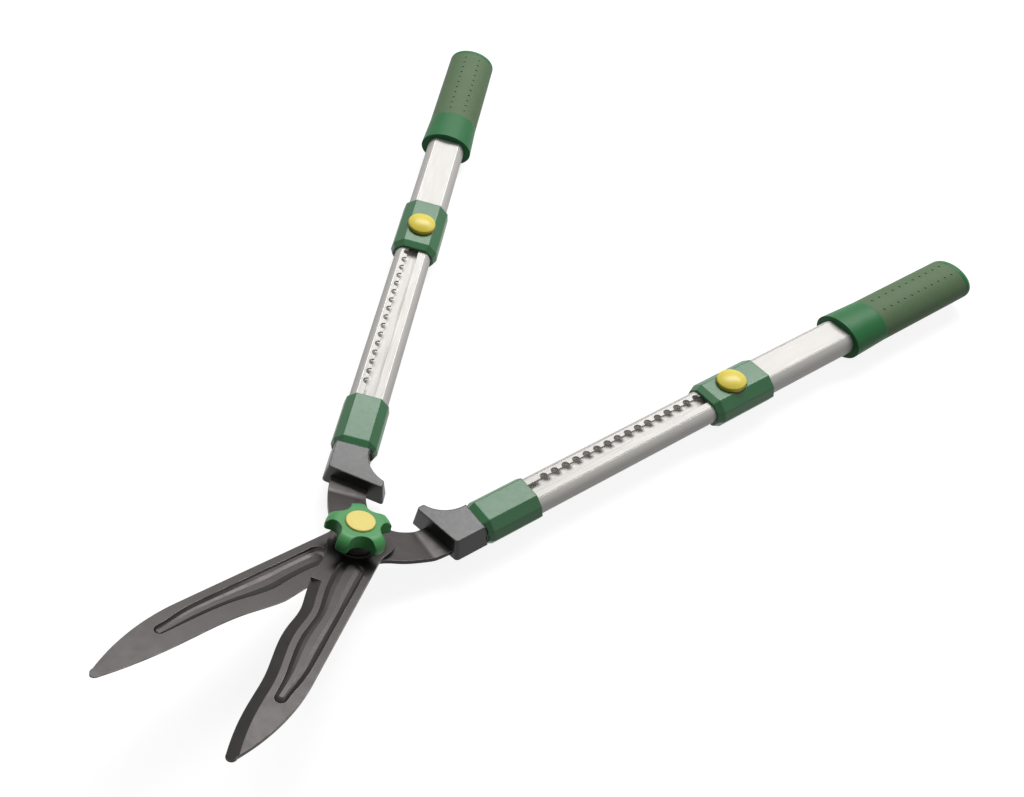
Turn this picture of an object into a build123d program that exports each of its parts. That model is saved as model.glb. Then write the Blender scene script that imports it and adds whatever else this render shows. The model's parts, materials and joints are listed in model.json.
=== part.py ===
from build123d import *
import os
from math import asin, atan, atan2, cos, degrees, exp, pi, radians, sin, sqrt, tan

# Telescopic hedge shears, knob side up, open and with both handles fully extended.
#
# Everything is built in the pivot frame: the pivot axis is Z, the two blades meet at z = 0, the
# handles run towards +Y and the blades towards -Y.  The left handle carries the upper blade and the
# right handle the lower one.  The handles are cranked upwards, so a last step lays the shears down:
# both handles become level and the lowest point rests on z = 0.
#
# The pieces of a handle are drawn in that handle's own frame: X runs outwards along the handle,
# Y to the left when looking outwards, Z up out of its top face.  Distances from the pivot are
# measured along that X.

# ---------------------------------------------------------------- stance of the two halves
handle_half_angle = 24.6      # each handle from the middle, shears open
upper_blade_angle = 14.9      # each blade from the middle, shears open
lower_blade_angle = 13.6
handle_offset = 20.0          # handle's centre line passes this far outside the pivot
crank_angle = 16.5            # handles rise above the plane of the blades
crank_reach = 47.5            # where a handle's centre line crosses the plane of the blades

# ---------------------------------------------------------------- blades
plate_thickness = 3.0
blade_gap = 0.05              # running gap between the two blades
upper_blade_length = 181.6    # pivot to tip
lower_blade_length = 186.4
nose_length = 3.2             # the rounded nose
nose_inward = 0.3             # the nose is a little nearer the edge than the spine
spine_offset = 19.9           # straight spine, from the line between pivot and tip
spine_bend_length = 65.0      # the spine curves towards the tip over this length
spine_bend_radius = 126.0
edge_start = 33.0             # the wavy cutting edge starts here
edge_height_heel = 10.9       # mean distance of the edge from the pivot-tip line
edge_height_tip = 7.0         # the same past the middle of the blade
edge_heel_slope = 0.05        # the edge stands out more towards the heel
edge_drop_start = 74.0
edge_drop_length = 55.0
tip_length = 45.0             # the edge bends in towards the tip over this length
tip_drop = 4.9
wave_height = 2.1
wave_length = 66.0
wave_crest = 68.0             # a crest of the lower blade's edge, a valley of the upper one's
wave_fade = 40.0              # the waves die away over this length
bevel_start = 42.0
bevel_width = 7.0
edge_land = 0.7               # steel left standing under the bevel
rib_height = 2.2
groove_depth = 2.0
groove_inset = 0.8            # the groove is this much narrower than the rib on each side
# the rib's rounded wall: share of its half width that it leans in, and share of its height
rib_wall = ((0.0, 0.0), (0.14, 0.45), (0.38, 0.8), (0.7, 1.0))
rib_to_edge = 11.0
rib_to_spine = 4.5
rib_end_to_spine = 8.1        # the same at the narrow end of the rib
rib_start = 16.0
rib_start_round = 8.0         # length of its rounded start
rib_end_setback = 43.0        # the rib ends this far short of the tip
rib_narrowing = 30.0          # length over which the rib narrows
bend_reach = 46.0             # where the tang bends up
bend_radius = 14.0
tang_end = 78.0
tang_neck_length = 16.0       # straight end of the tang, inside the bolster
tang_neck_width = 18.0
tang_shoulder_length = 20.0
tang_shoulder_inner = 17.4    # from the handle's centre line
tang_shoulder_outer = 9.6

# ---------------------------------------------------------------- pivot
bolt_radius = 4.0
running_gap = 0.05            # radial clearance of a turning fit
neck_side = 8.0               # square neck that keeps the bolt from turning
bolt_head_radius = 10.0
bolt_head_height = 4.5
bolt_head_rim = 1.2           # straight part of the head under its dome
bolt_clearance = 0.3          # round the shank where it only passes through
washer_gap = 0.05             # running gap between the upper blade and the thrust washer
thrust_washer_radius = 14.5
thrust_washer_thickness = 1.6
disc_spring_radius = 12.0
disc_spring_height = 1.9
disc_spring_thickness = 0.9
hub_radius = 13.0
knob_bottom = 12.5
knob_top = 22.5
knob_radius = 22.4
knob_lobes = 5
flute_radius = 9.0
flute_depth_radius = 13.6     # nearest a flute comes to the axis
flute_turn = -50.0            # direction of the first flute
knob_edge_radius = 8.0        # domed edge of the knob's top
lobe_corner_radius = 2.6
knob_disc_radius = 9.8
knob_disc_top = 23.7
knob_disc_seat = 1.6
knob_disc_chamfer = 0.5
nut_width = 13.0              # across flats
nut_height = 6.5
nut_bottom = 8.5
bolt_end = 19.0

# ---------------------------------------------------------------- bolsters
bolster_top = 11.5
bolster_bottom = 4.4          # underside, below the handle's centre line
bolster_draft = 10.0          # the sides lean out towards the underside
bolster_start = 60.4          # outer front corner
bolster_end = 83.0
bolster_outer_side = 12.6
bolster_inner_side = 11.2
horn_reach = 53.6             # front of the horn
horn_side = 27.2              # the horn's end, from the centre line
horn_width = 5.6
bolster_corner_radius = 3.0
horn_corner_radius = 1.8
throat_reach = 7.6            # deepest point of the curve between horn and block, past the front
throat_rise = 4.2             # and above the inner side
spigot_length = 30.0
rivet_radius = 2.5
rivet_reach = 70.0
rivet_top = 7.5

# ---------------------------------------------------------------- tubes
outer_half_width = 16.6
outer_half_height = 10.0
outer_flat = 10.5             # half width of the flat top
tube_wall = 1.6
slide_gap = 0.1               # between the inner and the outer tube
inner_inset = tube_wall + slide_gap
outer_tube_end = 571.0
inner_tube_end = 398.0
edge_line_width = 0.6         # fine groove along both edges of the flat top
edge_line_depth = 0.5
channel_right = -3.7          # slot in the inner tube's top
channel_left = 4.5
channel_floor = 4.1
floor_thickness = 1.2
channel_side = 9.0            # half width of the channel under the lips
notch_count = 19
notch_pitch = 9.5
notch_first = 144.4
notch_radius = 2.9
notch_offset = 0.5            # notch centre beyond the slot's edge
glide_length = 6.0

# ---------------------------------------------------------------- sleeves on the tubes
seat_gap = 0.05
sleeve_waist = 0.24           # a sleeve is widest this share of its lower half below the middle
sleeve_shoulder = 0.44        # its side slopes in from this share of the upper half upwards
sleeve_shoulder_inset = 1.5
sleeve_keel = 0.72            # its underside is this share of its width
sleeve_side_radius = 2.6
sleeve_top_radius = 1.2
collar_end = 128.0
collar_nose = 5.6             # sloping front of the collar
collar_half_width = 17.2
collar_top = 12.0
collar_bottom = 10.4
collar_flat = 9.5             # half width of the flat top
button_reach = 317.6
lock_front = 26.4             # the lock sleeve starts this far before the button
lock_length = 56.0
lock_nose = 5.6
lock_half_width = 19.7
lock_top = 12.5
lock_bottom = 12.3
lock_flat = 10.5
nose_drop = 2.2               # a sleeve is this much smaller at its front
outer_tube_front = 18.6       # the outer tube starts this far before the button

# ---------------------------------------------------------------- buttons
button_radius = 11.4
button_hole_gap = 0.35
button_top = 18.4
button_rim = 15.4
button_skirt = 12.1
button_bore_radius = 7.5
button_roof = 16.2
button_travel = 2.0
stem_radius = 2.6
stem_hole_radius = 3.4
pawl_top = 8.1
pawl_bottom = 6.25
pawl_front = 21.1             # the pawl starts this far before the button's axis
pawl_length = 30.5
pawl_gap = 0.2
spring_wire = 0.8             # side of the square wire
spring_radius = 4.6
spring_turns = 2.0

# ---------------------------------------------------------------- grips
grip_start = 438.0
grip_end = 582.0
soft_start = 474.0
soft_end = 573.5
grip_half_width = 21.4
grip_half_height = 14.6
grip_flare = 1.3              # the front of the grip stands out this much
grip_end_radius = 6.0
soft_thickness = 2.2
dimple_count = 11
dimple_pitch = 8.4
dimple_first = 482.0
dimple_side = 6.8
dimple_radius = 1.3
dimple_depth = 0.7


# ================================================================ frames
def handle_plane(side):
    """Frame of one handle; side is -1 for the left handle and +1 for the right one."""
    half = radians(handle_half_angle)
    crank = radians(crank_angle)
    forward = Vector(side * sin(half), cos(half), 0)
    outward = Vector(side * cos(half), -sin(half), 0)
    along = forward * cos(crank) + Vector(0, 0, sin(crank))
    up = Vector(0, 0, cos(crank)) - forward * sin(crank)
    start = outward * handle_offset + forward * crank_reach - along * crank_reach
    return Plane(origin=start, x_dir=along, z_dir=up)


def on_handle(side, part):
    return part.moved(Location(handle_plane(side)))


def section_plane(reach):
    """Cross-section plane of a handle: drawn with x to the left and y up."""
    return Plane(origin=(reach, 0, 0), x_dir=(0, 1, 0), z_dir=(1, 0, 0))


def bar(section, start, end):
    """A handle piece of constant section between two distances from the pivot."""
    return extrude(section_plane(start) * section, end - start)


# ================================================================ blades
def smooth_step(share):
    """Rises smoothly from 0 to 1 while the share goes from 0 to 1."""
    share = min(max(share, 0.0), 1.0)
    return share * share * (3 - 2 * share)


def tang_point(along, inward):
    """A point of the left half in plan, from the left handle's centre line."""
    half = radians(handle_half_angle)
    x = -along * sin(half) + (inward - handle_offset) * cos(half)
    y = along * cos(half) + (inward - handle_offset) * sin(half)
    return (x, y)


class BladePlan:
    """Plan lines of one blade with its tang, drawn for the left half of the shears."""

    def __init__(self, angle, length, wave_sign):
        self.angle = radians(angle)
        self.length = length
        self.wave_sign = wave_sign

    def point(self, along, inward):
        """A point measured from the line between pivot and tip; inward is towards the edge."""
        x = along * sin(self.angle) - inward * cos(self.angle)
        y = -along * cos(self.angle) - inward * sin(self.angle)
        return (x, y)

    def edge_inward(self, along):
        """Distance of the wavy cutting edge from the line between pivot and tip."""
        drop = smooth_step((along - edge_drop_start) / edge_drop_length)
        mean = edge_height_heel + (edge_height_tip - edge_height_heel) * drop
        mean += edge_heel_slope * max(edge_drop_start - along, 0.0)
        near_tip = max(along - (self.length - tip_length), 0.0) / tip_length
        mean -= tip_drop * near_tip ** 2.1
        fade = exp(-abs(along - wave_crest) / wave_fade)
        wave = wave_height * fade * cos(2 * pi * (along - wave_crest) / wave_length)
        return mean + self.wave_sign * wave

    def edge_points(self, start, end):
        steps = round((end - start) / (wave_length / 8))
        places = [start + (end - start) * i / steps for i in range(steps + 1)]
        return [self.point(s, self.edge_inward(s)) for s in places]

    def outline(self):
        nose_start = self.length - nose_length
        bend_start = self.length - spine_bend_length
        bend_middle = (bend_start + nose_start) / 2
        nose_edge = self.point(nose_start, self.edge_inward(nose_start))
        nose_spine = self.point(nose_start, spine_rise(nose_start - bend_start) - spine_offset)
        heel = [
            tang_point(tang_end - tang_shoulder_length, -tang_shoulder_outer),
            (-47.4, 33.6),
            (-39.6, 22.4),
            (-29.9, 11.4),
            (-21.6, 4.0),
            (-17.6, -3.0),
            (-16.0, -8.8),
            self.point(12.0, 15.2),
            self.point(22.6, 13.1),
        ]
        lobe = [
            self.point(8.0, -spine_offset),
            (21.4, 7.9),
            (21.5, 14.0),
            (17.6, 20.4),
            (8.0, 24.6),
            (-4.0, 29.4),
            (-10.6, 31.6),
            (-16.6, 36.0),
            tang_point(tang_end - tang_shoulder_length, tang_shoulder_inner),
        ]
        lines = Curve() + [
            Spline(*(heel + self.edge_points(edge_start, nose_start))),
            ThreePointArc(nose_edge, self.point(self.length, nose_inward), nose_spine),
            ThreePointArc(
                nose_spine,
                self.point(bend_middle, spine_rise(bend_middle - bend_start) - spine_offset),
                self.point(bend_start, -spine_offset),
            ),
            Line(self.point(bend_start, -spine_offset), lobe[0]),
            Spline(*lobe),
            Polyline(
                lobe[-1],
                tang_point(tang_end - tang_neck_length, 2 * tang_neck_width / 3),
                tang_point(tang_end, tang_neck_width / 2),
                tang_point(tang_end, -tang_neck_width / 2),
                heel[0],
            ),
        ]
        return make_face(lines)

    def rib_foot(self, along):
        """Middle line and half width of the rib's foot; its spine side is nearly straight."""
        rib_end = self.length - rib_end_setback
        narrowing = smooth_step(1 + (along - rib_end) / rib_narrowing)
        spine_side = rib_to_spine + (rib_end_to_spine - rib_to_spine) * narrowing - spine_offset
        edge_side = self.edge_inward(along) - rib_to_edge
        return (edge_side + spine_side) / 2, (edge_side - spine_side) / 2

    def rib_outline(self, inset, lean, height):
        """Plan of the pressed rib at one height, with round ends."""

        def half_width(along):
            return (self.rib_foot(along)[1] - inset) * (1 - lean)

        def side_point(along, side):
            return self.point(along, self.rib_foot(along)[0] + side * half_width(along))

        rib_end = self.length - rib_end_setback
        start = rib_start + rib_start_round
        end = rib_end - self.rib_foot(rib_end)[1]
        steps = round((end - start) / (wave_length / 8))
        places = [start + (end - start) * i / steps for i in range(steps + 1)]
        edge_side = [side_point(s, 1) for s in places]
        spine_side = [side_point(s, -1) for s in reversed(places)]
        start_round = rib_start_round * half_width(start) / self.rib_foot(start)[1]
        lines = Curve() + [
            Spline(*edge_side),
            ThreePointArc(
                edge_side[-1],
                self.point(end + half_width(end), self.rib_foot(end)[0]),
                spine_side[0],
            ),
            Spline(*spine_side),
            ThreePointArc(
                spine_side[-1],
                self.point(start - start_round, self.rib_foot(start)[0]),
                edge_side[0],
            ),
        ]
        return Plane.XY.offset(height) * make_face(lines)

    def rib(self, inset, low, height):
        """The rib as a solid; the same shape, set in a little, is its groove."""
        levels = [self.rib_outline(inset, lean, low + share * height) for lean, share in rib_wall]
        return loft(levels, ruled=True)

    def bevel(self, top):
        """Steel ground away along the cutting edge."""
        slope = (plate_thickness - edge_land) / bevel_width
        edge = self.edge_points(bevel_start, self.length + nose_length / 2)
        path = Spline(*[(x, y, top) for x, y in edge])
        across = Plane(origin=path @ 0, x_dir=Vector(0, 0, 1).cross(path % 0), z_dir=path % 0)
        over = 1.0
        wedge = Polyline(
            (bevel_width, 0),
            (-over, -(bevel_width + over) * slope),
            (-over, over),
            (bevel_width, over),
            close=True,
        )
        return sweep(across * make_face(wedge), path=path)


def spine_rise(past_bend):
    """How far the curved part of the spine has come in."""
    return spine_bend_radius - sqrt(spine_bend_radius ** 2 - past_bend ** 2)


def bent_plate(crank, far):
    """Wide plate, flat under the knob and bent by the crank angle where the tang starts."""
    forward = Vector(-sin(radians(handle_half_angle)), cos(radians(handle_half_angle)), 0)
    side_view = Plane(origin=(0, 0, 0), x_dir=forward, z_dir=forward.cross(Vector(0, 0, 1)))
    turn = radians(crank)
    low = blade_gap / 2
    high = low + plate_thickness
    shift = plate_thickness / 2 * tan(turn / 2)
    low_corner = (bend_reach + shift, low)
    high_corner = (bend_reach - shift, high)
    reach = 2 * tang_end - bend_reach
    step = (reach * cos(turn), reach * sin(turn))
    outline = Polyline(
        (-far, low),
        low_corner,
        (low_corner[0] + step[0], low_corner[1] + step[1]),
        (high_corner[0] + step[0], high_corner[1] + step[1]),
        high_corner,
        (-far, high),
        close=True,
    )
    profile = make_face(outline)
    low_radius = bend_radius + (plate_thickness / 2 if crank > 0 else -plate_thickness / 2)
    high_radius = 2 * bend_radius - low_radius
    for corner, radius in ((low_corner, low_radius), (high_corner, high_radius)):
        bend = profile.vertices().sort_by_distance((corner[0], corner[1], 0))[0]
        profile = fillet(bend, radius)
    return extrude(side_view * profile, far, both=True)


def make_blade(plan, crank):
    """A blade of the left half, its outer face upwards."""
    low = blade_gap / 2
    high = low + plate_thickness
    blade = bent_plate(crank, 1.5 * plan.length) & extrude(plan.outline(), tang_end, both=True)
    blade += plan.rib(0.0, high, rib_height)
    blade -= plan.rib(groove_inset, low, groove_depth)
    return blade - plan.bevel(high)


def upper_blade():
    blade = make_blade(BladePlan(upper_blade_angle, upper_blade_length, -1), crank_angle)
    return blade - Cylinder(bolt_radius + running_gap, 20)


def lower_blade():
    """Drawn like the upper one and turned over, so its groove faces upwards."""
    blade = Rot(0, 180, 0) * make_blade(BladePlan(lower_blade_angle, lower_blade_length, 1), -crank_angle)
    return blade - Box(neck_side, neck_side, 20)


# ================================================================ pivot
def pivot_bolt():
    """Round-headed bolt, square under the head, that the upper blade turns on."""
    under = -blade_gap / 2 - plate_thickness
    head = Pos(0, 0, under) * Cylinder(
        bolt_head_radius, bolt_head_rim, align=(Align.CENTER, Align.CENTER, Align.MAX)
    )
    dome_height = bolt_head_height - bolt_head_rim
    dome_radius = (bolt_head_radius ** 2 + dome_height ** 2) / (2 * dome_height)
    dome = Pos(0, 0, under - bolt_head_height + dome_radius) * Sphere(dome_radius)
    column = Pos(0, 0, under - bolt_head_rim) * Cylinder(
        bolt_head_radius, bolt_head_height, align=(Align.CENTER, Align.CENTER, Align.MAX)
    )
    neck = Pos(0, 0, under) * Box(
        neck_side, neck_side, plate_thickness, align=(Align.CENTER, Align.CENTER, Align.MIN)
    )
    shank = Pos(0, 0, under) * Cylinder(
        bolt_radius, bolt_end - under, align=(Align.CENTER, Align.CENTER, Align.MIN)
    )
    bolt = head + (dome & column) + neck + shank
    return chamfer(bolt.edges().group_by(Axis.Z)[-1], 0.8)


def washer_bottom():
    return blade_gap / 2 + plate_thickness + washer_gap


def thrust_washer():
    ring = Circle(thrust_washer_radius) - Circle(bolt_radius + running_gap)
    return extrude(Plane.XY.offset(washer_bottom()) * ring, thrust_washer_thickness)


def disc_spring():
    """Conical disc spring that keeps the blades pressed together."""
    low = washer_bottom() + thrust_washer_thickness
    inner = bolt_radius + bolt_clearance
    profile = Polyline(
        (disc_spring_radius, 0, low),
        (disc_spring_radius, 0, low + disc_spring_thickness),
        (inner, 0, low + disc_spring_height),
        (inner, 0, low + disc_spring_height - disc_spring_thickness),
        close=True,
    )
    return revolve(make_face(profile), Axis.Z)


def hexagon(height):
    """Shape of the nut and of its seats."""
    return extrude(RegularPolygon(nut_width / 2, 6, major_radius=False), height)


def knob_hub():
    """Black hub under the knob; the nut sits in it and it presses on the disc spring."""
    low = washer_bottom() + thrust_washer_thickness + disc_spring_height
    hub = Pos(0, 0, low) * Cylinder(
        hub_radius, knob_bottom - low, align=(Align.CENTER, Align.CENTER, Align.MIN)
    )
    hub = chamfer(hub.edges().group_by(Axis.Z)[0], 0.8)
    hub -= Cylinder(bolt_radius + running_gap, 3 * bolt_end)
    return hub - Pos(0, 0, nut_bottom) * hexagon(nut_height)


def knob_nut():
    nut = Pos(0, 0, nut_bottom) * hexagon(nut_height)
    return nut - Cylinder(bolt_radius + running_gap, 3 * bolt_end)


def star_knob():
    """Five-lobed hand knob with a domed top."""
    star = Circle(knob_radius)
    for lobe in range(knob_lobes):
        turn = flute_turn + lobe * 360 / knob_lobes
        star -= Rot(0, 0, turn) * Pos(flute_depth_radius + flute_radius, 0) * Circle(flute_radius)
    star = fillet(star.vertices(), lobe_corner_radius)
    knob = extrude(Plane.XY.offset(knob_bottom) * star, knob_top - knob_bottom)
    dome = Pos(0, 0, knob_bottom) * Cylinder(
        knob_radius, knob_top - knob_bottom, align=(Align.CENTER, Align.CENTER, Align.MIN)
    )
    knob &= fillet(dome.edges().group_by(Axis.Z)[-1], knob_edge_radius)
    knob -= Pos(0, 0, nut_bottom) * hexagon(nut_height)
    room = bolt_end + bolt_clearance - knob_bottom
    knob -= Pos(0, 0, knob_bottom) * Cylinder(
        bolt_radius + bolt_clearance, room, align=(Align.CENTER, Align.CENTER, Align.MIN)
    )
    seat = Cylinder(knob_disc_radius + seat_gap, 10, align=(Align.CENTER, Align.CENTER, Align.MIN))
    return knob - Pos(0, 0, knob_top - knob_disc_seat) * seat


def knob_disc():
    low = knob_top - knob_disc_seat
    disc = Pos(0, 0, low) * Cylinder(
        knob_disc_radius, knob_disc_top - low, align=(Align.CENTER, Align.CENTER, Align.MIN)
    )
    return chamfer(disc.edges().group_by(Axis.Z)[-1], knob_disc_chamfer)


# ================================================================ tubes
def flat_oval(half_width, half_height, flat):
    """Tube section: flat top and bottom, round sides."""
    return make_face(
        Curve()
        + [
            Line((-flat, half_height), (flat, half_height)),
            ThreePointArc((flat, half_height), (half_width, 0), (flat, -half_height)),
            Line((flat, -half_height), (-flat, -half_height)),
            ThreePointArc((-flat, -half_height), (-half_width, 0), (-flat, half_height)),
        ]
    )


def oval(inset):
    """The outer tube's outside section, shrunk by the inset."""
    return flat_oval(outer_half_width - inset, outer_half_height - inset, outer_flat - inset * 0.6)


def edge_lines(part, inset, start, end):
    """Cuts the fine grooves along both edges of a tube's flat top."""
    side = outer_flat - inset * 0.6
    height = outer_half_height - inset
    groove = Rectangle(edge_line_width, 2 * edge_line_depth)
    for place in (-side, side):
        part -= bar(Pos(place, height) * groove, start - 1, end + 1)
    return part


def tube_hollow():
    """Closed lower hollow of the inner tube, which the bolster's spigot and the glide plug into."""
    top = channel_floor - floor_thickness
    bottom = tube_wall - (outer_half_height - inner_inset)
    room = Pos(0, (top + bottom) / 2) * Rectangle(4 * outer_half_width, top - bottom)
    return oval(inner_inset + tube_wall) & room


def inner_tube():
    """Slotted tube: a notched lip on the left, a plain lip on the right, a floor under both."""
    lip_bottom = outer_half_height - inner_inset - tube_wall
    channel_height = lip_bottom - channel_floor
    channel = Pos(0, channel_floor + channel_height / 2) * Rectangle(2 * channel_side, channel_height)
    slot_middle = (channel_left + channel_right) / 2
    slot_width = channel_left - channel_right
    slot = Pos(slot_middle, lip_bottom + 3) * Rectangle(slot_width, 8)
    section = oval(inner_inset) - tube_hollow() - channel - slot
    tube = bar(section, bolster_end, inner_tube_end)
    tube = edge_lines(tube, inner_inset, bolster_end, inner_tube_end)
    notch = Cylinder(notch_radius, 6)
    for step in range(notch_count):
        place = notch_first + step * notch_pitch
        tube -= Pos(place, channel_left + notch_offset, lip_bottom + 2.5) * notch
    return tube


def tube_glide():
    """Plastic plug in the end of the inner tube that guides it inside the outer one."""
    flange = bar(oval(tube_wall + 0.06), inner_tube_end, inner_tube_end + glide_length)
    plug = bar(offset(tube_hollow(), -seat_gap), inner_tube_end - 12, inner_tube_end)
    return flange + plug


def outer_tube():
    start = button_reach - outer_tube_front
    tube = bar(oval(0) - oval(tube_wall), start, outer_tube_end)
    tube = edge_lines(tube, 0, start, outer_tube_end)
    return tube - Pos(button_reach, 0, outer_half_height) * Cylinder(stem_hole_radius, 8)


# ================================================================ bolsters
def bolster_block():
    """Tapered block round the tang; its horn is the bumper that stops the shears closing."""
    past_end = bolster_end + bolster_top
    horn_back = (horn_reach + horn_width, horn_side)
    top = Curve() + [
        Polyline(
            (past_end, bolster_inner_side),
            (past_end, -bolster_outer_side),
            (bolster_start, -bolster_outer_side),
            (horn_reach, horn_side),
            horn_back,
        ),
        ThreePointArc(
            horn_back,
            (bolster_start + throat_reach, bolster_inner_side + throat_rise),
            (bolster_end, bolster_inner_side),
        ),
        Line((bolster_end, bolster_inner_side), (past_end, bolster_inner_side)),
    ]
    height = bolster_top + bolster_bottom
    block = extrude(Plane.XY.offset(bolster_top) * make_face(top), -height, taper=-bolster_draft)
    upright = block.edges().filter_by(lambda edge: abs((edge % 0.5).Z) > 0.8)
    front = upright.filter_by(lambda edge: edge.center().X < bolster_end - 4)
    block = fillet(front.sort_by(Axis.Y)[0], bolster_corner_radius)
    upright = block.edges().filter_by(lambda edge: abs((edge % 0.5).Z) > 0.8)
    horn = upright.filter_by(lambda edge: edge.center().Y > horn_side - 3)
    block = fillet(horn, horn_corner_radius)
    return block & Box(2 * bolster_end, 6 * horn_side, 6 * horn_side)


def bolster(side):
    block = bolster_block()
    if side < 0:
        block = mirror(block, Plane.XZ)
    block += bar(offset(tube_hollow(), -seat_gap), bolster_end, bolster_end + spigot_length)
    return block - tang_rivet()


def tang_rivet():
    """Pin driven up through the bolster and the tang from below."""
    return Pos(rivet_reach, 0, -bolster_bottom) * Cylinder(
        rivet_radius, bolster_bottom + rivet_top, align=(Align.CENTER, Align.CENTER, Align.MIN)
    )


# ================================================================ sleeves
def sleeve_section(half_width, top, bottom, flat):
    """Section of the green sleeves: flat top, sloping shoulders, narrower underneath."""
    shoulder = (half_width - sleeve_shoulder_inset, top * sleeve_shoulder)
    waist = (half_width, -bottom * sleeve_waist)
    keel = (half_width * sleeve_keel, -bottom)
    right = [(flat, top), shoulder, waist, keel]
    left = [(-x, y) for x, y in reversed(right)]
    section = make_face(Polyline(*right, *left, close=True))
    corners = section.vertices().filter_by(lambda corner: corner.Y < top - 0.1)
    section = fillet(corners, sleeve_side_radius)
    tops = section.vertices().filter_by(lambda corner: corner.Y > top - 0.1)
    return fillet(tops, sleeve_top_radius)


def nosed_bar(sizes, nose, start, end):
    """A sleeve with a sloping front; sizes are half width, top, bottom and half flat."""
    half_width, top, bottom, flat = sizes
    full = sleeve_section(*sizes)
    drop = nose_drop
    small = sleeve_section(half_width - drop, top - drop, bottom - drop, flat - drop / 2)
    front = loft([section_plane(start) * small, section_plane(start + nose) * full], ruled=True)
    return front + bar(full, start + nose, end)


def lower_collar():
    """Green sleeve over the start of the inner tube."""
    sizes = (collar_half_width, collar_top, collar_bottom, collar_flat)
    body = nosed_bar(sizes, collar_nose, bolster_end, collar_end)
    return body - bar(oval(inner_inset - seat_gap), bolster_end - 1, collar_end + 1)


def lock_sleeve():
    """Green sleeve fixed on the end of the outer tube; the button sits in its top."""
    start = button_reach - lock_front
    end = start + lock_length
    tube_start = button_reach - outer_tube_front
    body = nosed_bar((lock_half_width, lock_top, lock_bottom, lock_flat), lock_nose, start, end)
    body -= bar(oval(tube_wall), start - 1, tube_start)
    body -= bar(oval(-seat_gap), tube_start, end + 1)
    hole = Cylinder(button_radius + button_hole_gap, 20, align=(Align.CENTER, Align.CENTER, Align.MIN))
    return body - Pos(button_reach, 0, outer_half_height - 0.5) * hole


# ================================================================ button
def lock_button():
    """Domed push button with a hollow for its spring and a stem through the outer tube."""
    dome_height = button_top - button_rim
    dome_radius = (button_radius ** 2 + dome_height ** 2) / (2 * dome_height)
    half_turn = asin(button_radius / dome_radius) / 2
    halfway = (dome_radius * sin(half_turn), 0, button_top - dome_radius * (1 - cos(half_turn)))
    profile = Curve() + [
        Polyline(
            (0, 0, button_top),
            (0, 0, pawl_top),
            (stem_radius, 0, pawl_top),
            (stem_radius, 0, button_roof),
            (button_bore_radius, 0, button_roof),
            (button_bore_radius, 0, button_skirt),
            (button_radius, 0, button_skirt),
            (button_radius, 0, button_rim),
        ),
        ThreePointArc((button_radius, 0, button_rim), halfway, (0, 0, button_top)),
    ]
    button = Pos(button_reach, 0, 0) * revolve(make_face(profile), Axis.Z)
    rim = button.edges().sort_by(lambda edge: abs(edge.center().Z - button_rim) - edge.length / 100)[0]
    return fillet(rim, 0.9)


def lock_pawl():
    """Black slider on the button's stem that rides in the slot."""
    start = button_reach - pawl_front
    middle = (channel_left + channel_right) / 2
    width = channel_left - channel_right - 2 * pawl_gap
    block = Box(pawl_length, width, pawl_top - pawl_bottom)
    return Pos(start + pawl_length / 2, middle, (pawl_top + pawl_bottom) / 2) * block


def button_spring():
    """Small coil spring of square wire between the outer tube and the button's roof."""
    low = outer_half_height + spring_wire / 2
    high = button_roof - spring_wire / 2
    pitch = (high - low) / spring_turns
    coil = Helix(pitch, high - low, spring_radius)
    start = Plane(origin=coil @ 0, x_dir=(1, 0, 0), z_dir=coil % 0)
    wire = sweep(start * Rectangle(spring_wire, spring_wire), path=coil, is_frenet=True)
    return Pos(button_reach, 0, low) * wire


# ================================================================ grips
def grip_section(grow=0.0):
    return Ellipse(grip_half_width + grow, grip_half_height + grow)


def grip_core():
    """Hard grip body: flared front, core under the soft cover, end cap."""
    flared = section_plane(grip_start) * grip_section(grip_flare)
    front = loft([flared, section_plane(soft_start) * grip_section()], ruled=True)
    core = bar(grip_section(-soft_thickness), soft_start, soft_end)
    cap = bar(grip_section(), soft_end, grip_end)
    cap = fillet(cap.faces().sort_by(Axis.X)[-1].edges(), grip_end_radius)
    grip = front + core + cap
    return grip - bar(oval(-seat_gap), grip_start - 1, outer_tube_end)


def grip_cover():
    """Soft cover with two rows of dimples on top."""
    cover = bar(grip_section() - grip_section(-soft_thickness), soft_start, soft_end)
    height = grip_half_height * sqrt(1 - (dimple_side / grip_half_width) ** 2)
    lean = degrees(atan2(dimple_side * grip_half_height ** 2, height * grip_half_width ** 2))
    dimple = extrude(RegularPolygon(dimple_radius, 4), dimple_depth, both=True)
    for row in (-1, 1):
        for step in range(dimple_count):
            place = dimple_first + step * dimple_pitch
            cover -= Pos(place, row * dimple_side, height) * Rot(-row * lean, 0, 0) * dimple
    return cover


# ================================================================ assembly and export
def all_pieces():
    pieces = {
        "upper_blade": upper_blade(),
        "lower_blade": lower_blade(),
        "pivot_bolt": pivot_bolt(),
        "thrust_washer": thrust_washer(),
        "disc_spring": disc_spring(),
        "knob_hub": knob_hub(),
        "knob_nut": knob_nut(),
        "star_knob": star_knob(),
        "knob_disc": knob_disc(),
    }
    alike = {
        "tang_rivet": tang_rivet(),
        "lower_collar": lower_collar(),
        "inner_tube": inner_tube(),
        "tube_glide": tube_glide(),
        "outer_tube": outer_tube(),
        "lock_sleeve": lock_sleeve(),
        "lock_button": lock_button(),
        "lock_pawl": lock_pawl(),
        "button_spring": button_spring(),
        "grip_core": grip_core(),
        "grip_cover": grip_cover(),
    }
    for side, word, blade in ((-1, "left", "upper_blade"), (1, "right", "lower_blade")):
        for name, part in alike.items():
            pieces[f"{word}_{name}"] = on_handle(side, part)
        pieces[f"{word}_bolster"] = on_handle(side, bolster(side)) - pieces[blade]
        pieces[blade] = pieces[blade] - pieces[f"{word}_tang_rivet"]
    return pieces


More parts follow.
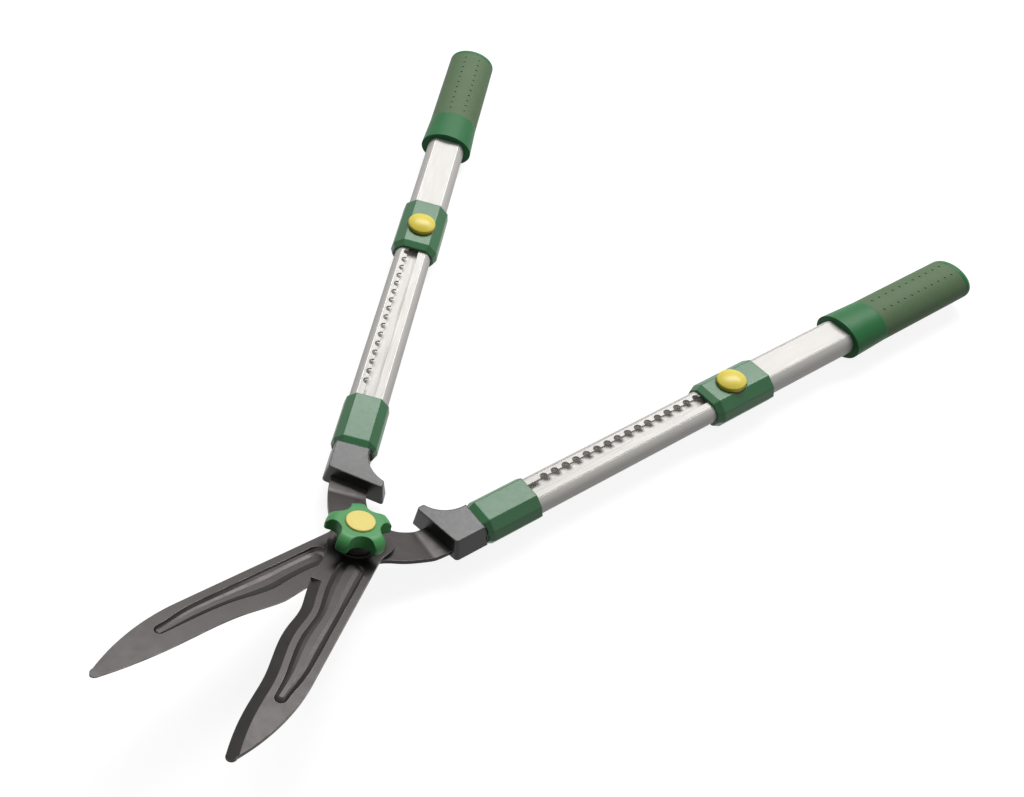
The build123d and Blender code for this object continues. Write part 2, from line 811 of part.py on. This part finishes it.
def laid_down(pieces):
    """Turns the shears until both handles are level, then rests them on z = 0, centred in plan."""
    lean = degrees(atan(tan(radians(crank_angle)) / cos(radians(handle_half_angle))))
    turned = {name: Rot(-lean, 0, 0) * part for name, part in pieces.items()}
    boxes = [part.bounding_box() for part in turned.values()]
    left = min(box.min.X for box in boxes)
    right = max(box.max.X for box in boxes)
    front = min(box.min.Y for box in boxes)
    back = max(box.max.Y for box in boxes)
    floor = min(box.min.Z for box in boxes)
    shift = Pos(-(left + right) / 2, -(front + back) / 2, -floor)
    return {name: shift * part for name, part in turned.items()}


os.makedirs("parts", exist_ok=True)
for name, part in laid_down(all_pieces()).items():
    export_step(part, f"parts/{name}.step")
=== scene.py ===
import json
from math import atan2, cos, pi, radians, sin

import bpy
from mathutils import Matrix, Vector


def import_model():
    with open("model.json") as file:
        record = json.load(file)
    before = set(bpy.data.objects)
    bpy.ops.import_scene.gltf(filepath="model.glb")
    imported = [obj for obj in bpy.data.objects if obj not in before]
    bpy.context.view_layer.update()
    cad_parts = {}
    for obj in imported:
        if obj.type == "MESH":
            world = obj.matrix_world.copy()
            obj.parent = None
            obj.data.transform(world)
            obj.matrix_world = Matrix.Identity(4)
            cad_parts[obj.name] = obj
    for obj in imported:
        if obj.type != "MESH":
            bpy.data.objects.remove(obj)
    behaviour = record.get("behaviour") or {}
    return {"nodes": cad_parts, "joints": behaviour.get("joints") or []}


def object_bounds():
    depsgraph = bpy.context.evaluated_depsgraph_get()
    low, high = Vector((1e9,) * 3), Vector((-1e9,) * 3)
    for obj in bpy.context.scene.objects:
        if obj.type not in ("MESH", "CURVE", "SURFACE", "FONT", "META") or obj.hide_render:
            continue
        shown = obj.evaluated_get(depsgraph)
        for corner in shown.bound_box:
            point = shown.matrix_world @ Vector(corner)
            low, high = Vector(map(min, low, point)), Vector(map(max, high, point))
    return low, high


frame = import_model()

# Telescopic hedge shears, open on a plain pale floor.  Every visible shape is a solid of the packed
# model; this script gives the solids their materials, lights them and places the camera.

cad_low, cad_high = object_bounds()

# ---------------------------------------------------------------- colours (linear)
BLADE_GREY = (0.034, 0.0315, 0.0308)
SOFT_BLACK = (0.018, 0.017, 0.016)
KNOB_GREEN = (0.055, 0.260, 0.075)
COLLAR_GREEN = (0.015, 0.118, 0.034)
GRIP_GREEN = (0.014, 0.120, 0.034)
GRIP_OLIVE = (0.058, 0.108, 0.044)
DISC_YELLOW = (0.680, 0.560, 0.120)
BUTTON_YELLOW = (0.660, 0.545, 0.062)
ALUMINIUM = (0.450, 0.437, 0.415)
NOTCH_PAINTED_LIGHT = (0.900, 0.885, 0.860)   # painted light inside the notches, lifting their shade
DIMPLE_PAINTED_LIGHT = (0.240, 0.300, 0.220)          # painted light in the dimples of the grips, lifting their shade
ZINC = (0.560, 0.570, 0.590)
SPRING_STEEL = (0.350, 0.360, 0.380)
BLACK_STEEL = (0.045, 0.043, 0.042)

# ---------------------------------------------------------------- surface detail
# Noise scales are in cycles per metre; depths, radii and reaches are in metres.
NOISE_RANGE = (0.30, 0.70)    # most of a noise texture's values lie between these
PLASTIC_CLOUDS = 45.0
PLASTIC_GLOSS = 300.0
PLASTIC_GRAIN = 2600.0
PLASTIC_DEPTH = 0.00006
RUBBER_CLOUDS = 60.0
RUBBER_GRAIN = 3200.0
RUBBER_DEPTH = 0.0001
TUBE_CLOUDS = 30.0
BRUSH_LINES = 1600.0
BRUSH_STRETCH = 40.0          # a brushed line is this many times as long as it is wide
BRUSH_DEPTH = 0.00003
METAL_SPOTS = 400.0
METAL_GRAIN = 1500.0
METAL_DEPTH = 0.00005
STEEL_CLOUDS = 26.0
STEEL_RUBS = 140.0
STEEL_GRINDING = 1800.0
STEEL_DEPTH = 0.00004

SHADER_SAMPLES = 6            # rays for each softened edge and each hollow
SHARP_EDGE = 0.0004
BLADE_EDGE = 0.0006
PLASTIC_EDGE = 0.0009
COLLAR_EDGE = 0.0012
BOLSTER_EDGE = 0.0014
EDGE_RANGE = (0.90, 0.995)    # how far the softened normal agrees with the face: at an edge, beside it
# patches along edges, partly wear and partly painted highlight
WEAR_AND_HIGHLIGHT_PATCHES = 90.0
WEAR_AND_HIGHLIGHT_RANGE = (0.40, 0.62)     # the noise that goes from plain edges to edges with wear and painted highlight
NOTCH_REACH = 0.0035
DIMPLE_REACH = 0.002
HOLLOW_RANGE = (0.45, 0.80)   # how open the surface is: in a hollow, on a face
JOINT_SHADE_LENGTH = 0.0030        # this much of the inner tube gets painted shade where it sits in the joint
JOINT_SHADE_FADE = 0.0005

# ---------------------------------------------------------------- studio
WORLD_LIGHT = 0.14            # light from all round; the camera and reflections see white
FLOOR_COLOUR = (0.22, 0.22, 0.22)
FLOOR_GLOW = 0.88             # seen by the camera and in reflections only
FLOOR_REACH = 12.0            # from the middle to each side
FLOOR_GAP = 0.0005            # below the lowest point of the object
WHITE = (1.0, 1.0, 1.0, 1.0)

LAMP_TARGET = Vector((0.0, 0.0, 0.03))
LAMPS = {                     # direction from the target, distance, width, height, radiance
    "high_back": ((-0.285, 0.584, 0.760), 2.4, 1.4, 0.95, 11.5),   # mirrored by the handles' tops
    "low_back": ((0.04, 0.77, 0.64), 2.3, 0.9, 0.50, 13.0),        # mirrored by the blades
    "right": ((0.85, 0.10, 0.50), 2.4, 1.2, 1.2, 0.9),             # lifts the sides that face right
}

# ---------------------------------------------------------------- camera
CAMERA_FROM_PIVOT = Vector((0.2427, -0.3010, 0.6239))
CAMERA_AZIMUTH = 25.72        # looks this far left of +Y
CAMERA_ELEVATION = 50.13      # looks this far down
CAMERA_ROLL = 8.27            # right side of the picture tilts up
CAMERA_FOCAL = 38.67          # millimetres
CAMERA_SENSOR = 36.0          # millimetres
CAMERA_CLIP = (0.01, 100.0)


# ================================================================ node helpers
def feed(links, socket, source):
    """Links an output to a socket, or sets a constant there."""
    if isinstance(source, bpy.types.NodeSocket):
        links.new(source, socket)
    else:
        socket.default_value = source


def combine(nodes, links, operation, first, second):
    """One operation on two numbers, each an output or a constant."""
    node = nodes.new("ShaderNodeMath")
    node.operation = operation
    feed(links, node.inputs[0], first)
    feed(links, node.inputs[1], second)
    return node.outputs["Value"]


def dot_product(nodes, links, first, second):
    """The dot product of two vectors, each an output or a constant."""
    node = nodes.new("ShaderNodeVectorMath")
    node.operation = "DOT_PRODUCT"
    feed(links, node.inputs[0], first)
    feed(links, node.inputs[1], second)
    return node.outputs["Value"]


def own_place(nodes):
    """The place on the piece, in metres in the object's frame."""
    return nodes.new("ShaderNodeTexCoord").outputs["Object"]


def noise(nodes, links, scale, detail=3.0, place=None):
    """A noise texture of about 0 to 1."""
    texture = nodes.new("ShaderNodeTexNoise")
    texture.inputs["Scale"].default_value = scale
    texture.inputs["Detail"].default_value = detail
    links.new(own_place(nodes) if place is None else place, texture.inputs["Vector"])
    return texture.outputs["Fac"]


def spread(nodes, links, value, low, high, source=NOISE_RANGE):
    """Maps a value from its source range onto low to high, and holds it there beyond the range."""
    mapping = nodes.new("ShaderNodeMapRange")
    mapping.inputs["From Min"].default_value = source[0]
    mapping.inputs["From Max"].default_value = source[1]
    mapping.inputs["To Min"].default_value = low
    mapping.inputs["To Max"].default_value = high
    links.new(value, mapping.inputs["Value"])
    return mapping.outputs["Result"]


def mix_colours(nodes, links, value, first, second):
    """Goes from the first colour to the second; the first may be the output of another mix."""
    mixer = nodes.new("ShaderNodeMix")
    mixer.data_type = "RGBA"
    feed(links, mixer.inputs["A"], (*first, 1.0) if isinstance(first, tuple) else first)
    feed(links, mixer.inputs["B"], (*second, 1.0))
    links.new(value, mixer.inputs["Factor"])
    return mixer.outputs["Result"]


def shade(colour, factor):
    """A colour made darker or lighter."""
    return tuple(channel * factor for channel in colour)


def clouded(nodes, links, colour, scale, darker, lighter, detail=3.0):
    """A colour that drifts between a darker and a lighter tone of itself."""
    cloud = noise(nodes, links, scale, detail)
    return mix_colours(nodes, links, cloud, shade(colour, darker), shade(colour, lighter))


def softened(nodes, radius):
    """The surface normal with every edge rounded off by a radius."""
    node = nodes.new("ShaderNodeBevel")
    node.samples = SHADER_SAMPLES
    node.inputs["Radius"].default_value = radius
    return node.outputs["Normal"]


def worn_and_highlit_edges(nodes, links, radius):
    """0 on faces, up to 1 in patches along edges: partly where handling rubs a surface, partly a
    painted highlight.
    """
    flat = nodes.new("ShaderNodeNewGeometry").outputs["Normal"]
    agreement = dot_product(nodes, links, softened(nodes, radius), flat)
    edge = spread(nodes, links, agreement, 1.0, 0.0, EDGE_RANGE)
    patchiness = noise(nodes, links, WEAR_AND_HIGHLIGHT_PATCHES, detail=4.0)
    return combine(nodes, links, "MULTIPLY", edge, spread(nodes, links, patchiness, 0.0, 1.0, WEAR_AND_HIGHLIGHT_RANGE))


def recesses(nodes, links, reach):
    """1 inside small hollows of the piece's own surface, 0 on open faces."""
    openness = nodes.new("ShaderNodeAmbientOcclusion")
    openness.samples = SHADER_SAMPLES
    openness.only_local = True
    openness.inputs["Distance"].default_value = reach
    return spread(nodes, links, openness.outputs["AO"], 1.0, 0.0, HOLLOW_RANGE)


def joint_shade_mask(nodes, links, tube, along):
    """Mask of painted shade: 1 on the end of a tube towards the pivot, 0 beyond."""
    start = min(vertex.co.dot(along) for vertex in frame["nodes"][tube].data.vertices)
    distance = dot_product(nodes, links, own_place(nodes), along)
    fade = (start + JOINT_SHADE_LENGTH, start + JOINT_SHADE_LENGTH + JOINT_SHADE_FADE)
    return spread(nodes, links, distance, 1.0, 0.0, fade)


def bump(nodes, links, shader, height, strength, depth, edge=SHARP_EDGE):
    """Fine relief from a height value, over softened edges."""
    node = nodes.new("ShaderNodeBump")
    node.inputs["Strength"].default_value = strength
    node.inputs["Distance"].default_value = depth
    links.new(height, node.inputs["Height"])
    links.new(softened(nodes, edge), node.inputs["Normal"])
    links.new(node.outputs["Normal"], shader.inputs["Normal"])


# ================================================================ materials
def new_material(name, base, rough, metal=0.0):
    """A Principled material; returns the material, its nodes, its links and the shader."""
    material = bpy.data.materials.new(name)
    material.use_nodes = True
    nodes = material.node_tree.nodes
    links = material.node_tree.links
    shader = nodes["Principled BSDF"]
    shader.inputs["Base Color"].default_value = (*base, 1.0)
    shader.inputs["Roughness"].default_value = rough
    shader.inputs["Metallic"].default_value = metal
    return material, nodes, links, shader


def moulded_plastic(name, colour, rough, grain=0.25, shine=0.5, edge=PLASTIC_EDGE):
    """Moulded plastic: slight tone variation, fine grain, uneven gloss, soft edges made lighter,
    partly by wear and partly as a painted highlight.
    """
    material, nodes, links, shader = new_material(name, colour, rough)
    shader.inputs["Specular IOR Level"].default_value = shine
    clean = clouded(nodes, links, colour, PLASTIC_CLOUDS, darker=0.92, lighter=1.08)
    # lighter edges: partly wear, partly a painted highlight along the edges
    rubbed_and_highlit = tuple(channel * 0.9 + 0.03 for channel in colour)
    worn_and_highlit = mix_colours(nodes, links, worn_and_highlit_edges(nodes, links, edge), clean, rubbed_and_highlit)
    links.new(worn_and_highlit, shader.inputs["Base Color"])
    gloss = noise(nodes, links, PLASTIC_GLOSS)
    links.new(spread(nodes, links, gloss, rough - 0.02, rough + 0.03), shader.inputs["Roughness"])
    height = noise(nodes, links, PLASTIC_GRAIN, detail=2.0)
    bump(nodes, links, shader, height, strength=grain, depth=PLASTIC_DEPTH, edge=edge)
    return material


def soft_rubber(name, colour, rough):
    """Soft cover: dull, with a fine leathery grain and painted light in the dimples that lifts their
    shade.
    """
    material, nodes, links, shader = new_material(name, colour, rough)
    shader.inputs["Specular IOR Level"].default_value = 0.3
    shader.inputs["Sheen Weight"].default_value = 0.05
    shader.inputs["Sheen Roughness"].default_value = 0.5
    clean = clouded(nodes, links, colour, RUBBER_CLOUDS, darker=0.9, lighter=1.1)
    # painted light in the dimples, lifting the shade inside them
    dimple_lit = mix_colours(nodes, links, recesses(nodes, links, DIMPLE_REACH), clean, DIMPLE_PAINTED_LIGHT)
    links.new(dimple_lit, shader.inputs["Base Color"])
    height = noise(nodes, links, RUBBER_GRAIN, detail=2.0)
    bump(nodes, links, shader, height, strength=0.35, depth=RUBBER_DEPTH)
    return material


def brushed_lines(nodes, links, along):
    """Noise drawn out into fine lines along one direction in plan."""
    mapping = nodes.new("ShaderNodeMapping")
    mapping.vector_type = "TEXTURE"
    mapping.inputs["Rotation"].default_value = (0.0, 0.0, atan2(along.y, along.x))
    mapping.inputs["Scale"].default_value = (BRUSH_STRETCH, 1.0, 1.0)
    links.new(own_place(nodes), mapping.inputs["Vector"])
    return noise(nodes, links, BRUSH_LINES, detail=2.0, place=mapping.outputs["Vector"])


def brushed_aluminium(name, tube, along, rough, metal):
    """Satin aluminium, with painted light in the notches and painted shade where the tube ends in the
    joint.
    """
    material, nodes, links, shader = new_material(name, ALUMINIUM, rough, metal)
    plain = clouded(nodes, links, ALUMINIUM, TUBE_CLOUDS, darker=0.94, lighter=1.04)
    # painted light in the notches, lifting the shade inside them
    notch_lit = mix_colours(nodes, links, recesses(nodes, links, NOTCH_REACH), plain, NOTCH_PAINTED_LIGHT)
    # painted shade on the end of the inner tube where it sits in the joint
    joint_shaded = mix_colours(nodes, links, joint_shade_mask(nodes, links, tube, along), notch_lit, SOFT_BLACK)
    links.new(joint_shaded, shader.inputs["Base Color"])
    lines = brushed_lines(nodes, links, along)
    links.new(spread(nodes, links, lines, rough - 0.05, rough + 0.07), shader.inputs["Roughness"])
    bump(nodes, links, shader, lines, strength=0.05, depth=BRUSH_DEPTH)
    return material


def plain_metal(name, colour, rough):
    """Metal of the small parts: spotted gloss and a fine grain."""
    material, nodes, links, shader = new_material(name, colour, rough, metal=1.0)
    spots = noise(nodes, links, METAL_SPOTS)
    links.new(spread(nodes, links, spots, rough - 0.06, rough + 0.08), shader.inputs["Roughness"])
    bump(nodes, links, shader, noise(nodes, links, METAL_GRAIN), strength=0.1, depth=METAL_DEPTH)
    return material


def coated_steel(name, colour, rough):
    """Dark coated blade steel: satin, cloudy, with fine grinding marks and lighter edges, partly wear
    through the coating and partly a painted highlight.
    """
    material, nodes, links, shader = new_material(name, colour, rough, metal=1.0)
    coating = clouded(nodes, links, colour, STEEL_CLOUDS, darker=0.92, lighter=1.10, detail=4.0)
    # lighter edges: partly wear through the coating, partly a painted highlight along the edges
    bare_and_highlit = shade(colour, 4.0)
    worn_and_highlit = mix_colours(nodes, links, worn_and_highlit_edges(nodes, links, BLADE_EDGE), coating, bare_and_highlit)
    links.new(worn_and_highlit, shader.inputs["Base Color"])
    rubs = noise(nodes, links, STEEL_RUBS, detail=4.0)
    links.new(spread(nodes, links, rubs, rough - 0.03, rough + 0.05), shader.inputs["Roughness"])
    bump(nodes, links, shader, noise(nodes, links, STEEL_GRINDING), strength=0.05, depth=STEEL_DEPTH)
    return material


# ================================================================ dressing the solids
def dress(node, material):
    """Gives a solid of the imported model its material."""
    mesh = frame["nodes"][node].data
    mesh.materials.clear()
    mesh.materials.append(material)


joints = {joint["name"]: joint for joint in frame["joints"]}

zinc = plain_metal("zinc_steel", ZINC, rough=0.35)
black_steel = plain_metal("black_steel", BLACK_STEEL, rough=0.42)
spring_steel = plain_metal("spring_steel", SPRING_STEEL, rough=0.3)
blade_steel = coated_steel("blade_steel", BLADE_GREY, rough=0.34)
black_plastic = moulded_plastic("black_plastic", SOFT_BLACK, rough=0.45)
bolster_black = moulded_plastic("bolster_black", SOFT_BLACK, rough=0.34, shine=0.45, edge=BOLSTER_EDGE)
knob_green = moulded_plastic("knob_green", KNOB_GREEN, rough=0.42, shine=0.3)
collar_green = moulded_plastic("collar_green", COLLAR_GREEN, rough=0.34, shine=0.40, edge=COLLAR_EDGE)
grip_green = moulded_plastic("grip_green", GRIP_GREEN, rough=0.42, shine=0.18)
grip_olive = soft_rubber("grip_olive", GRIP_OLIVE, rough=0.62)
disc_yellow = moulded_plastic("disc_yellow", DISC_YELLOW, rough=0.42, grain=0.1)
button_yellow = moulded_plastic("button_yellow", BUTTON_YELLOW, rough=0.34, grain=0.1, shine=0.35)

PIVOT_FINISHES = {
    "upper_blade": blade_steel,
    "lower_blade": blade_steel,
    "pivot_bolt": zinc,
    "knob_nut": zinc,
    "thrust_washer": black_steel,
    "disc_spring": black_steel,
    "knob_hub": black_plastic,
    "star_knob": knob_green,
    "knob_disc": disc_yellow,
}
HANDLE_FINISHES = {
    "bolster": bolster_black,
    "tang_rivet": zinc,
    "lower_collar": collar_green,
    "tube_glide": black_plastic,
    "lock_sleeve": collar_green,
    "lock_button": button_yellow,
    "lock_pawl": black_plastic,
    "button_spring": spring_steel,
    "grip_core": grip_green,
    "grip_cover": grip_olive,
}

for piece, material in PIVOT_FINISHES.items():
    dress(piece, material)
for side in ("left", "right"):
    for piece, material in HANDLE_FINISHES.items():
        dress(side + "_" + piece, material)
    inner_tube = side + "_inner_tube"
    along = Vector(joints[side + "_slide"]["axis"])
    aluminium = brushed_aluminium(side + "_aluminium", inner_tube, along, rough=0.55, metal=0.25)
    dress(inner_tube, aluminium)
    dress(side + "_outer_tube", aluminium)


# ================================================================ studio
def seen_directly(nodes, links):
    """1 for camera, glossy and transmission rays, 0 for the light that falls on things."""
    path = nodes.new("ShaderNodeLightPath")
    total = path.outputs["Is Camera Ray"]
    for kind in ("Is Glossy Ray", "Is Transmission Ray"):
        total = combine(nodes, links, "MAXIMUM", total, path.outputs[kind])
    return total


def floor():
    """Large pale floor under the lowest point; it looks white to the camera and keeps the shadow."""
    mesh = bpy.data.meshes.new("floor")
    corners = [(x * FLOOR_REACH, y * FLOOR_REACH, 0) for x, y in ((-1, -1), (1, -1), (1, 1), (-1, 1))]
    mesh.from_pydata(corners, [], [(0, 1, 2, 3)])
    plane = bpy.data.objects.new("floor", mesh)
    plane.location = (0, 0, cad_low.z - FLOOR_GAP)
    bpy.context.scene.collection.objects.link(plane)
    material, nodes, links, shader = new_material("floor", FLOOR_COLOUR, rough=0.9)
    shader.inputs["Specular IOR Level"].default_value = 0.0
    shader.inputs["Emission Color"].default_value = WHITE
    glow = combine(nodes, links, "MULTIPLY", seen_directly(nodes, links), FLOOR_GLOW)
    links.new(glow, shader.inputs["Emission Strength"])
    mesh.materials.append(material)


def world():
    """White to the camera and in reflections, a softer grey as light."""
    studio = bpy.data.worlds.new("studio")
    bpy.context.scene.world = studio
    studio.use_nodes = True
    nodes = studio.node_tree.nodes
    links = studio.node_tree.links
    background = nodes["Background"]
    background.inputs["Color"].default_value = WHITE
    strength = spread(nodes, links, seen_directly(nodes, links), WORLD_LIGHT, 1.0, source=(0.0, 1.0))
    links.new(strength, background.inputs["Strength"])


def softbox(name, direction, distance, width, height, radiance):
    """A rectangular area light that looks at the target from a direction."""
    light = bpy.data.lights.new(name, "AREA")
    light.shape = "RECTANGLE"
    light.size = width
    light.size_y = height
    light.energy = radiance * pi * width * height
    lamp = bpy.data.objects.new(name, light)
    away = Vector(direction).normalized()
    lamp.location = LAMP_TARGET + away * distance
    lamp.rotation_mode = "QUATERNION"
    lamp.rotation_quaternion = (-away).to_track_quat("-Z", "Y")
    bpy.context.scene.collection.objects.link(lamp)


def camera():
    """The photograph's view, placed from the pivot."""
    azimuth = radians(CAMERA_AZIMUTH)
    elevation = radians(CAMERA_ELEVATION)
    roll = radians(CAMERA_ROLL)
    forward = Vector((-sin(azimuth) * cos(elevation), cos(azimuth) * cos(elevation), -sin(elevation)))
    level = forward.cross(Vector((0, 0, 1))).normalized()
    up = level.cross(forward)
    right = level * cos(roll) + up * sin(roll)
    top = up * cos(roll) - level * sin(roll)
    data = bpy.data.cameras.new("camera")
    data.lens = CAMERA_FOCAL
    data.sensor_width = CAMERA_SENSOR
    data.clip_start, data.clip_end = CAMERA_CLIP
    viewer = bpy.data.objects.new("camera", data)
    place = Vector(joints["blade_pivot"]["pos_m"]) + CAMERA_FROM_PIVOT
    turn = Matrix((right, top, -forward)).transposed()
    viewer.matrix_world = Matrix.Translation(place) @ turn.to_4x4()
    bpy.context.scene.collection.objects.link(viewer)
    bpy.context.scene.camera = viewer


floor()
world()
for name, settings in LAMPS.items():
    softbox(name, *settings)
camera()
bpy.context.scene.view_settings.view_transform = "Standard"
